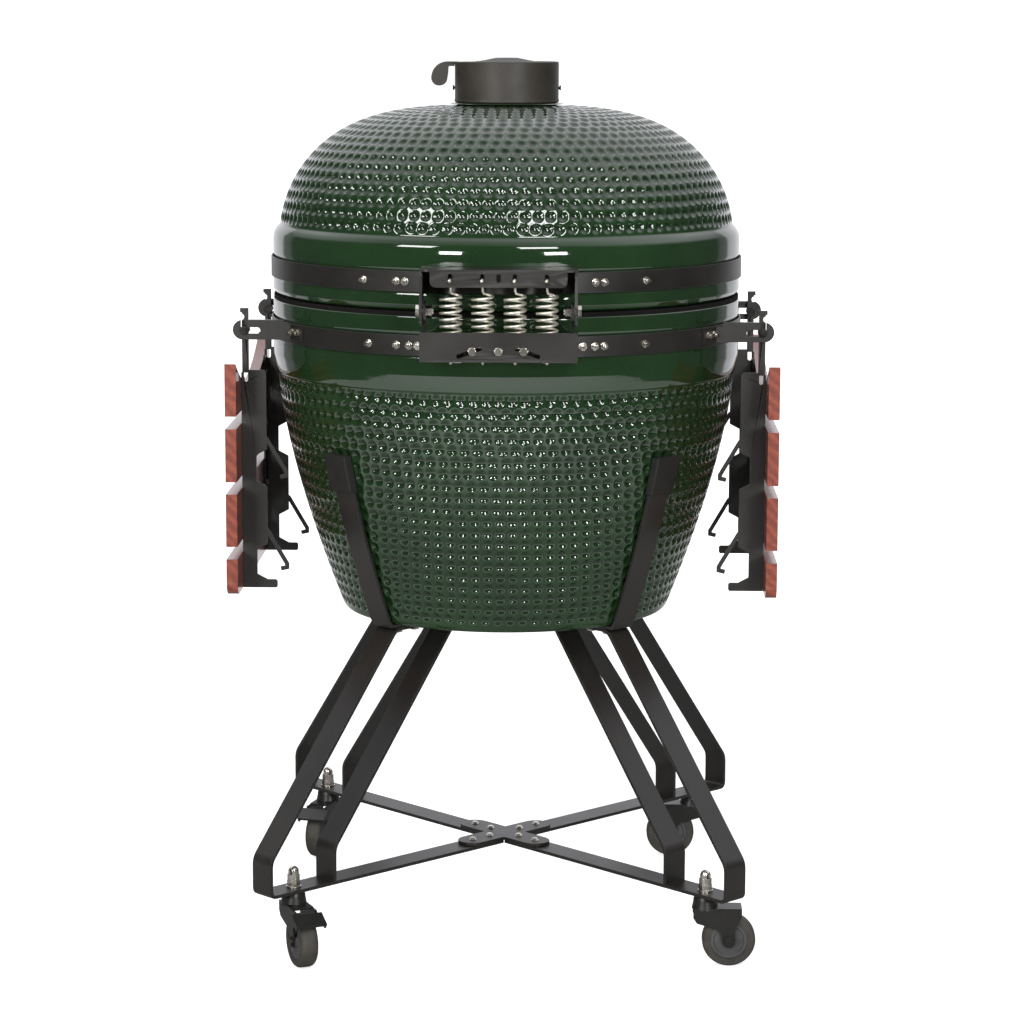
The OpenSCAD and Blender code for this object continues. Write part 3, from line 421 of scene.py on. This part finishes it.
def revolve(name, outer, inner, first, last, pitch, row_pitch):
    """A closed shell: outer profile with dimples, inner profile plain, both as (radius, height) in mm."""
    margin = DIMPLE_R * 1.3
    skin, along = resample(np.array(outer) * MM, first * MM - margin, last * MM + margin)
    theta = np.linspace(0, 2 * math.pi, COLUMNS, endpoint=False)
    depth = dimple_depth(skin[:, 0], along, theta, first * MM, last * MM, pitch * MM, row_pitch * MM)
    tangent = np.gradient(skin, axis=0)
    tangent /= np.linalg.norm(tangent, axis=1)[:, None]
    normal = np.c_[tangent[:, 1], -tangent[:, 0]]
    radius = skin[:, 0][:, None] - normal[:, 0][:, None] * depth * DIMPLE_DEPTH
    height = skin[:, 1][:, None] - normal[:, 1][:, None] * depth * DIMPLE_DEPTH
    inside = np.array(inner[::-1], float) * MM
    radius = np.vstack([radius, np.repeat(inside[:, :1], COLUMNS, axis=1)])
    height = np.vstack([height, np.repeat(inside[:, 1:], COLUMNS, axis=1)])
    shade = np.vstack([depth, np.zeros((len(inside), COLUMNS))])
    rows = len(radius)
    cos, sin = np.cos(theta), np.sin(theta)
    verts = np.stack([radius * cos, radius * sin, height], axis=-1).reshape(-1, 3)
    at = np.arange(rows * COLUMNS).reshape(rows, COLUMNS)
    nxt = np.roll(at, -1, axis=1)
    up = np.roll(at, -1, axis=0)
    up_nxt = np.roll(up, -1, axis=1)
    faces = np.stack([at, nxt, up_nxt, up], axis=-1).reshape(-1, 4)
    mesh = bpy.data.meshes.new(name)
    mesh.from_pydata(verts.tolist(), [], faces.tolist())
    mesh.update()
    # Each point's dimple depth, which the glaze turns into painted shade
    mark = mesh.attributes.new("dimple", "FLOAT", "POINT")
    mark.data.foreach_set("value", shade.reshape(-1).astype(np.float32))
    mesh.materials.append(MATERIALS["green_glaze"])
    mesh.materials.append(MATERIALS["inner_ceramic"])
    row_of_face = np.repeat(np.arange(rows), COLUMNS)
    mesh.polygons.foreach_set("material_index", (row_of_face >= len(skin)).astype(np.int32))
    o = bpy.data.objects.new(name, mesh)
    bpy.context.scene.collection.objects.link(o)
    smooth_by_angle(o, SKIN_SMOOTH_ANGLE)
    return o


def cut(o, tool):
    """Takes the tool object's volume out of o, then removes the tool."""
    modifier = o.modifiers.new("cut", "BOOLEAN")
    modifier.operation = "DIFFERENCE"
    modifier.object = tool
    modifier.solver = "FAST"
    bpy.context.view_layer.objects.active = o
    bpy.ops.object.modifier_apply(modifier=modifier.name)
    bpy.data.objects.remove(tool)


def block(low, high):
    """A box between two corners, for cutting."""
    (x0, y0, z0), (x1, y1, z1) = low, high
    verts = [(x, y, z) for x in (x0, x1) for y in (y0, y1) for z in (z0, z1)]
    faces = [(0, 1, 3, 2), (4, 6, 7, 5), (0, 4, 5, 1), (2, 3, 7, 6), (0, 2, 6, 4), (1, 5, 7, 3)]
    return new_object("tool", verts, faces, "green_glaze", smooth=False)


# Profile heights and the rim's radius, in mm, from the CAD ceramic's own boxes
rim = base_high.x / MM
bowl_z = base_low.z / MM
base_top = base_high.z / MM
lid_z = lid_low.z / MM
neck_top = lid_high.z / MM
# The same driving sizes as the CAD ceramic, in mm
WALL = 25
BOWL_H = 350
BOWL_BOTTOM_R = 240
BOWL_TOP_R = rim - 7
BOWL_CURVE = 1.45
DOME_Z = 1025
DOME_H = 184
DOME_R = rim - 10
DOME_CURVE, DOME_SQUARENESS = 1.8, 3.5
# Edge radii, in mm
FOOT_EDGE, SWELL_EDGE, BASE_LIP_EDGE = 5, 2.5, 7
LID_LIP_EDGE, SHOULDER_EDGE = 6, 3
SHOULDER_Z = 1016
STEP_Z = 1037.5
LIP_START = 12
NECK_R, NECK_TOP_R, CHIMNEY_R = 84, 82, 51
DIMPLES_END_R = 93
DRAFT_OPENING = ((-78 * MM, 150 * MM, 507 * MM), (78 * MM, 310 * MM, 557 * MM))


def bowl_r(z):
    """Radius of the bowl's outside at a height."""
    share = max(0.0, 1 - (z - bowl_z) / BOWL_H)
    return BOWL_BOTTOM_R + (BOWL_TOP_R - BOWL_BOTTOM_R) * (1 - share ** BOWL_CURVE)


def dome_r(z, radius=DOME_R, height=DOME_H):
    """Radius of the dome at a height: flat on top, square at the shoulder."""
    share = max(0.0, (z - DOME_Z) / height)
    return radius * max(0.0, 1 - share ** DOME_CURVE) ** (1 / DOME_SQUARENESS)


def rounded(points, radius, steps=6):
    """Rounds each inner corner of a profile with a short curve."""
    out = [points[0]]
    for a, b, c in zip(points, points[1:], points[2:]):
        a, b, c = (np.array(p, float) for p in (a, b, c))
        before, after = a - b, c - b
        reach = min(radius, np.linalg.norm(before) * 0.45, np.linalg.norm(after) * 0.45)
        start = b + before / np.linalg.norm(before) * reach
        end = b + after / np.linalg.norm(after) * reach
        for k in range(steps + 1):
            t = k / steps
            out.append(tuple(start * (1 - t) ** 2 + b * 2 * t * (1 - t) + end * t ** 2))
    out.append(points[-1])
    return out


def groove(low, high):
    """The shallow seat of a steel band in a rim, between two heights."""
    seat = rim - GROOVE_DEPTH
    return [(rim, low - GROOVE_SLOPE), (seat, low), (seat, high), (rim, high + GROOVE_SLOPE)]


def build_ceramic_base():
    """The dimpled bowl with its swollen rim, a seat for the band and the opening for the draft door."""
    bowl_top = bowl_z + BOWL_H
    sides = [(bowl_r(z), z) for z in np.linspace(bowl_z + 6, bowl_top - 8, 40)]
    foot = rounded([(1, bowl_z), (BOWL_BOTTOM_R - 2, bowl_z), sides[0], sides[1]], FOOT_EDGE)[:-1]
    swell = [(BOWL_TOP_R, bowl_top), (BOWL_TOP_R + 0.4, bowl_top + 3), (rim - 4.8, bowl_top + 5),
             (rim - 2.8, bowl_top + 14), (rim, bowl_top + 30)]
    band_seat = groove(base_band.z / MM, base_band_top.z / MM)
    head = rounded([sides[-1]] + swell + band_seat + [(rim, base_top - 8)], SWELL_EDGE)
    lip = [head[-1], (rim, base_top), (rim - 12, base_top), (rim - WALL + 2, base_top)]
    lip = rounded(lip, BASE_LIP_EDGE)
    outer = foot + sides[1:-1] + head[:-1] + lip + [(rim - WALL, base_top)]
    floor_z = bowl_z + WALL + 3
    inner = [(1, floor_z), (bowl_r(floor_z) - WALL - 8, floor_z)]
    inner += [(bowl_r(z) - WALL, z) for z in np.linspace(floor_z + 10, bowl_top - 20, 14)]
    inner += [(rim - WALL, 830), (rim - WALL, base_top - 2)]
    first, last = BOWL_BOTTOM_R + 18, polyline_length(outer, bowl_top) - 7
    o = revolve("ceramic_base_glazed", outer, inner, first, last, BASE_PITCH, BASE_ROWS)
    cut(o, block(*DRAFT_OPENING))
    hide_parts("ceramic_base")
    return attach(o, "cart")


def polyline_length(points, z_stop):
    """Length along a profile up to the first point at height z_stop."""
    total = 0.0
    for (r0, z0), (r1, z1) in zip(points, points[1:]):
        if z1 >= z_stop:
            break
        total += math.hypot(r1 - r0, z1 - z0)
    return total


def build_ceramic_lid():
    """The dimpled dome with its rim, shoulder and chimney neck."""
    top_z = DOME_Z + DOME_H * 0.9975
    fractions = np.sin(np.linspace(0, math.pi / 2, 60))
    dome = [(dome_r(z), z) for z in STEP_Z + (top_z - STEP_Z) * fractions]
    neck = [(NECK_R, neck_top - 1.5), (NECK_TOP_R, neck_top), (CHIMNEY_R, neck_top)]
    lip = rounded([(rim - WALL + 1, lid_z), (rim - 14, lid_z), (rim - 4, lid_z + 2), (rim, lid_z + 10),
                   (rim, lid_z + LIP_START)], LID_LIP_EDGE)[:-1]
    band_seat = groove(lid_band.z / MM, lid_band_top.z / MM)
    bend = [(rim, SHOULDER_Z), (rim - 1.4, SHOULDER_Z + 9), (rim - 5.5, SHOULDER_Z + 15.5)]
    bend += [(DOME_R, STEP_Z - 1.5)]
    shoulder = rounded([(rim, lid_z + LIP_START - 1)] + band_seat + bend + dome[:2], SHOULDER_EDGE)[:-1]
    foot = lip + shoulder
    outer = foot + dome[1:] + neck
    inner_h = DOME_H - WALL
    inner = [(rim - WALL, lid_z + 1)]
    heights = DOME_Z + (inner_h - 3) * np.sin(np.linspace(0, math.pi / 2, 16))
    inner += [(dome_r(z, rim - WALL, inner_h), z) for z in heights]
    inner += [(CHIMNEY_R - 1, DOME_Z + inner_h - 3), (CHIMNEY_R - 1, neck_top - 1)]
    foot_length = sum(math.dist(a, b) for a, b in zip(foot, foot[1:]))
    dome_length = sum(math.dist(a, b) for a, b in zip(dome, dome[1:]) if b[0] > DIMPLES_END_R)
    first, last = foot_length + 10, foot_length + dome_length
    o = revolve("ceramic_lid_glazed", outer, inner, first, last, LID_PITCH, LID_ROWS)
    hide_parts("ceramic_lid")
    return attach(o, "lid")


build_ceramic_base()
build_ceramic_lid()

# ---------------------------------------------------------------- springs


def tube(name, path, radius, sides, material):
    """A round wire along a path of points."""
    p = np.array(path, float)
    tangent = np.gradient(p, axis=0)
    tangent /= np.linalg.norm(tangent, axis=1)[:, None]
    normal = np.cross(tangent[0], (0.3, 0.2, 1.0))
    normal /= np.linalg.norm(normal)
    verts = []
    for i in range(len(p)):
        normal = normal - tangent[i] * np.dot(normal, tangent[i])
        normal /= np.linalg.norm(normal)
        side = np.cross(tangent[i], normal)
        for k in range(sides):
            a = 2 * math.pi * k / sides
            verts.append(p[i] + radius * (math.cos(a) * normal + math.sin(a) * side))
    faces = []
    for i in range(len(p) - 1):
        for k in range(sides):
            n = (k + 1) % sides
            faces.append((i * sides + k, i * sides + n, (i + 1) * sides + n, (i + 1) * sides + k))
    faces.append(tuple(range(sides))[::-1])
    faces.append(tuple((len(p) - 1) * sides + k for k in range(sides)))
    return new_object(name, verts, faces, material)


SPRING_X = (-65.5, -22, 22, 65.5)
SPRING_Y = -377
COIL_R = 14
WIRE_R = 1.9
WIRE_SIDES = 10
COIL_LOW, COIL_HIGH = 887, 961
COIL_START = math.radians(20)
TURNS = 8
STEPS = 28


def spring_path(x):
    """Hook under the box, coils, then the hook through the slotted lip."""
    pts = [(0, 8, 869.5), (0, 3, 868.6), (0, 0.5, 870), (0, 0, 874), (0, 0, 880), (2, 1, 884)]
    for k in range(TURNS * STEPS + 1):
        a = COIL_START + 2 * math.pi * k / STEPS
        rise = (COIL_HIGH - COIL_LOW) * k / (TURNS * STEPS)
        pts.append((COIL_R * math.cos(a), COIL_R * math.sin(a), COIL_LOW + rise))
    pts += [(7, 4, 962.6), (1.5, 0.8, 964.5), (0, 0, 968), (0, 0, 976), (0, -1.5, 981.5), (0, -6, 984)]
    pts += [(0, -14, 984.4), (0, -22, 984.2), (-1.5, -25.5, 982.5)]
    return [((px + x) * MM, (py + SPRING_Y) * MM, pz * MM) for px, py, pz in pts]


for i, x in enumerate(SPRING_X):
    wire = tube(f"hinge_spring_wire_{i + 1}", spring_path(x), WIRE_R * MM, WIRE_SIDES, "spring_zinc")
    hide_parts("hinge_springs")
    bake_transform(wire)

# ---------------------------------------------------------------- thermometer scale

DIAL_CENTRE = Vector((0, 310.6, 1105))
DIAL_RIGHT = Vector((-1, 0, 0))
DIAL_UP = Vector((0, -0.5, 0.75 ** 0.5))
DIAL_OUT = DIAL_RIGHT.cross(DIAL_UP)
DIAL_FACE = 12.1
MARKS = 21
LONG_EVERY = 5
MARK_SWEEP = math.radians(270)
MARK_OUTER, LONG_INNER, SHORT_INNER = 30.5, 23, 26
LONG_HALF, SHORT_HALF = 0.8, 0.45
MARK_HEIGHTS = (-0.1, 0.3)
NEEDLE_AT = 2
NEEDLE_FROM, NEEDLE_TO = -8, 25
NEEDLE_HALF, NEEDLE_TIP_HALF = 1.6, 0.4
NEEDLE_HEIGHTS = (1.0, 1.6)
HUB_R = 3.4
HUB_SIDES = 24
HUB_HEIGHTS = (-0.1, 2.2)


def build_dial_marks():
    """Plain ticks, a needle and its hub on the thermometer's face, all closed prisms."""
    verts, faces = [], []

    def prism(outline, heights):
        start, n = len(verts), len(outline)
        for height in heights:
            level = DIAL_CENTRE + DIAL_OUT * (DIAL_FACE + height)
            verts.extend((level + DIAL_RIGHT * x + DIAL_UP * y) * MM for x, y in outline)
        faces.append(tuple(start + k for k in range(n))[::-1])
        faces.append(tuple(start + n + k for k in range(n)))
        for k in range(n):
            m = (k + 1) % n
            faces.append((start + k, start + m, start + n + m, start + n + k))

    def spoke(turn, inner, outer, inner_half, outer_half, heights):
        c, s = math.cos(turn), math.sin(turn)
        corners = [(-inner_half, inner), (inner_half, inner), (outer_half, outer), (-outer_half, outer)]
        prism([(x * c + y * s, -x * s + y * c) for x, y in corners], heights)

    turns = [MARK_SWEEP * (k / (MARKS - 1) - 0.5) for k in range(MARKS)]
    for k, turn in enumerate(turns):
        inner, half = (LONG_INNER, LONG_HALF) if k % LONG_EVERY == 0 else (SHORT_INNER, SHORT_HALF)
        spoke(turn, inner, MARK_OUTER, half, half, MARK_HEIGHTS)
    spoke(turns[NEEDLE_AT], NEEDLE_FROM, NEEDLE_TO, NEEDLE_HALF, NEEDLE_TIP_HALF, NEEDLE_HEIGHTS)
    around = [2 * math.pi * k / HUB_SIDES for k in range(HUB_SIDES)]
    prism([(HUB_R * math.cos(a), HUB_R * math.sin(a)) for a in around], HUB_HEIGHTS)
    o = new_object("thermometer_marks", verts, faces, "dark_screw", smooth=False)
    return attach(o, "lid")


build_dial_marks()

# ---------------------------------------------------------------- floor, light, camera

FLOOR_TONE = 0.86
FLOOR_GLOW = 0.62
FLOOR_NEAR, FLOOR_FAR = 1.2, 3.5
FLOOR_SIZE = 60.0
PAPER_REACH = 2.3
# Painted shade: for mirror rays the paper goes from dark near the grill to pale further out
FLOOR_MIRRORED = (1.0, 1.5, 0.32, 0.8)
CEILING_LEAN = 0.8
CEILING_SIDE = 0.35
CEILING_FADE = (-0.25, 0.85)
CEILING_RISE = (0.2, 0.6)
CEILING_POWER = 1.35
WALL_STOPS = [(0.0, 0.07), (0.6, 0.07), (0.64, 0.22), (0.75, 0.3), (0.79, 0.98), (1.0, 1.0)]
FILL_FRONT, FILL_BACK = 0.1, 1.15
WALL_TINT = (0.98, 0.975, 1.02, 1.0)
WALL_SEEN = 1.05
KEY_SIZE = (1.2, 1.1)
KEY_POWER = 58
KEY_AIM = (0, 0, 1.05)
LOW_SIZE = (0.8, 0.8)
LOW_POWER = 54
LOW_AIM = (0, 0, 1.0)


class World:
    """Small helper for the maths nodes of the floor and the world."""

    def __init__(self, tree):
        self.tree = tree

    def maths(self, operation, *values):
        n = self.tree.nodes.new("ShaderNodeMath")
        n.operation = operation
        for socket, value in zip(n.inputs, values):
            if isinstance(value, (int, float)):
                socket.default_value = value
            else:
                self.tree.links.new(value, socket)
        return n.outputs["Value"]

    def between(self, value, low, high, start, end):
        n = self.tree.nodes.new("ShaderNodeMapRange")
        for key, number in (("From Min", low), ("From Max", high), ("To Min", start), ("To Max", end)):
            n.inputs[key].default_value = number
        self.tree.links.new(value, n.inputs["Value"])
        return n.outputs["Result"]


def build_floor():
    """Pale paper: lit a little from itself for the camera, so that its far end meets the white wall."""
    g = Graph("floor_paper")
    tree = g.tree
    tools = World(tree)
    vec = g.coords()
    stops = [(0.3, grey(FLOOR_TONE - 0.02)), (0.7, grey(FLOOR_TONE + 0.02))]
    g.link(g.ramp(g.noise(vec, 3, 3), stops), g.shader.inputs["Base Color"])
    g.set(Roughness=0.9)
    distance = tree.nodes.new("ShaderNodeVectorMath")
    distance.operation = "LENGTH"
    g.link(vec, distance.inputs[0])
    path = tree.nodes.new("ShaderNodeLightPath")
    own_light = tools.between(distance.outputs["Value"], FLOOR_NEAR, FLOOR_FAR, FLOOR_GLOW, 1.0)
    g.shader.inputs["Emission Color"].default_value = grey(1.0)
    camera_only = tools.maths("MULTIPLY", own_light, path.outputs["Is Camera Ray"])
    g.link(camera_only, g.shader.inputs["Emission Strength"])
    # Painted shade: for mirror rays the paper is darker near the grill
    dim = g.node("ShaderNodeBsdfDiffuse")
    g.link(tools.between(distance.outputs["Value"], *FLOOR_MIRRORED), dim.inputs["Color"])
    beyond = g.node("ShaderNodeBsdfTransparent")
    paper_end = tools.maths("GREATER_THAN", distance.outputs["Value"], PAPER_REACH)
    mirrored = g.node("ShaderNodeMixShader")
    g.link(paper_end, mirrored.inputs["Fac"])
    g.link(dim.outputs["BSDF"], mirrored.inputs[1])
    g.link(beyond.outputs["BSDF"], mirrored.inputs[2])
    mix = g.node("ShaderNodeMixShader")
    g.link(path.outputs["Is Glossy Ray"], mix.inputs["Fac"])
    g.link(g.shader.outputs["BSDF"], mix.inputs[1])
    g.link(mirrored.outputs["Shader"], mix.inputs[2])
    g.link(mix.outputs["Shader"], tree.nodes["Material Output"].inputs["Surface"])
    mesh = bpy.data.meshes.new("floor")
    corners = [(x * FLOOR_SIZE, y * FLOOR_SIZE, 0) for x, y in ((-1, -1), (1, -1), (1, 1), (-1, 1))]
    mesh.from_pydata(corners, [], [(0, 1, 2, 3)])
    mesh.materials.append(g.material)
    o = bpy.data.objects.new("floor", mesh)
    bpy.context.scene.collection.objects.link(o)


def build_world():
    """White for the camera. Mirror rays see a white wall and ceiling at +Y and a dark hall at -Y."""
    world = bpy.data.worlds.new("studio")
    bpy.context.scene.world = world
    world.use_nodes = True
    tree = world.node_tree
    tree.nodes.clear()
    tools = World(tree)
    out = tree.nodes.new("ShaderNodeOutputWorld")
    coord = tree.nodes.new("ShaderNodeTexCoord")
    split = tree.nodes.new("ShaderNodeSeparateXYZ")
    tree.links.new(coord.outputs["Generated"], split.inputs["Vector"])
    ramp = tree.nodes.new("ShaderNodeValToRGB")
    for i, (place, value) in enumerate(WALL_STOPS):
        element = ramp.color_ramp.elements[i] if i < 2 else ramp.color_ramp.elements.new(place)
        element.position = place
        element.color = grey(value)
    tree.links.new(split.outputs["Y"], ramp.inputs["Fac"])
    side = tools.maths("MULTIPLY_ADD", split.outputs["X"], CEILING_SIDE, split.outputs["Y"])
    lean = tools.maths("MULTIPLY_ADD", split.outputs["Z"], CEILING_LEAN, side)
    ceiling = tools.maths("MULTIPLY", tools.between(lean, *CEILING_FADE, 0, CEILING_POWER),
                          tools.between(split.outputs["Z"], *CEILING_RISE, 0, 1))
    around = tools.maths("MAXIMUM", ramp.outputs["Color"], ceiling)
    fill = tools.between(split.outputs["Y"], -1, 1, FILL_FRONT, FILL_BACK)
    mirror = tree.nodes.new("ShaderNodeBackground")
    mirror.inputs["Color"].default_value = WALL_TINT
    tree.links.new(around, mirror.inputs["Strength"])
    soft = tree.nodes.new("ShaderNodeBackground")
    tree.links.new(fill, soft.inputs["Strength"])
    seen = tree.nodes.new("ShaderNodeBackground")
    seen.inputs["Color"].default_value = grey(1.0)
    seen.inputs["Strength"].default_value = WALL_SEEN
    path = tree.nodes.new("ShaderNodeLightPath")
    near = tree.nodes.new("ShaderNodeMixShader")
    tree.links.new(path.outputs["Is Glossy Ray"], near.inputs["Fac"])
    tree.links.new(soft.outputs["Background"], near.inputs[1])
    tree.links.new(mirror.outputs["Background"], near.inputs[2])
    mix = tree.nodes.new("ShaderNodeMixShader")
    tree.links.new(path.outputs["Is Camera Ray"], mix.inputs["Fac"])
    tree.links.new(near.outputs["Shader"], mix.inputs[1])
    tree.links.new(seen.outputs["Background"], mix.inputs[2])
    tree.links.new(mix.outputs["Shader"], out.inputs["Surface"])


def softbox(name, place, target, width, height, power):
    """A rectangular lamp, in metres and watts, facing its target."""
    light = bpy.data.lights.new(name, "AREA")
    light.shape = "RECTANGLE"
    light.size, light.size_y = width, height
    light.energy = power
    o = bpy.data.objects.new(name, light)
    o.location = place
    o.rotation_euler = (Vector(target) - Vector(place)).to_track_quat("-Z", "Y").to_euler()
    bpy.context.scene.collection.objects.link(o)
    return o


CAMERA_DISTANCE = 4.53
CAMERA_HEIGHT = 1.329
CAMERA_TURN = math.radians(1.5)
CAMERA_TILT = math.radians(90 - 8.955)
CAMERA_ROLL = math.radians(-0.17)
CAMERA_LENS = 109.4
CAMERA_SHIFT = -0.002


def build_camera():
    data = bpy.data.cameras.new("camera")
    data.lens = CAMERA_LENS
    data.sensor_width = 36
    data.shift_x = CAMERA_SHIFT
    o = bpy.data.objects.new("camera", data)
    sideways, back = CAMERA_DISTANCE * math.sin(CAMERA_TURN), CAMERA_DISTANCE * math.cos(CAMERA_TURN)
    o.location = (sideways, -back, CAMERA_HEIGHT)
    o.rotation_euler = (CAMERA_TILT, CAMERA_ROLL, CAMERA_TURN)
    bpy.context.scene.collection.objects.link(o)
    bpy.context.scene.camera = o


build_floor()
build_world()
softbox("key_left", (-2.46, -2.63, 2.67), KEY_AIM, *KEY_SIZE, KEY_POWER)
softbox("key_right", (1.05, -3.44, 2.67), KEY_AIM, *KEY_SIZE, KEY_POWER)
softbox("low_left", (-1.75, -3.9, 1.32), LOW_AIM, *LOW_SIZE, LOW_POWER)
softbox("low_right", (1.75, -3.9, 1.32), LOW_AIM, *LOW_SIZE, LOW_POWER)
build_camera()
scene = bpy.context.scene
scene.view_settings.view_transform = "Standard"
scene.view_settings.look = "None"
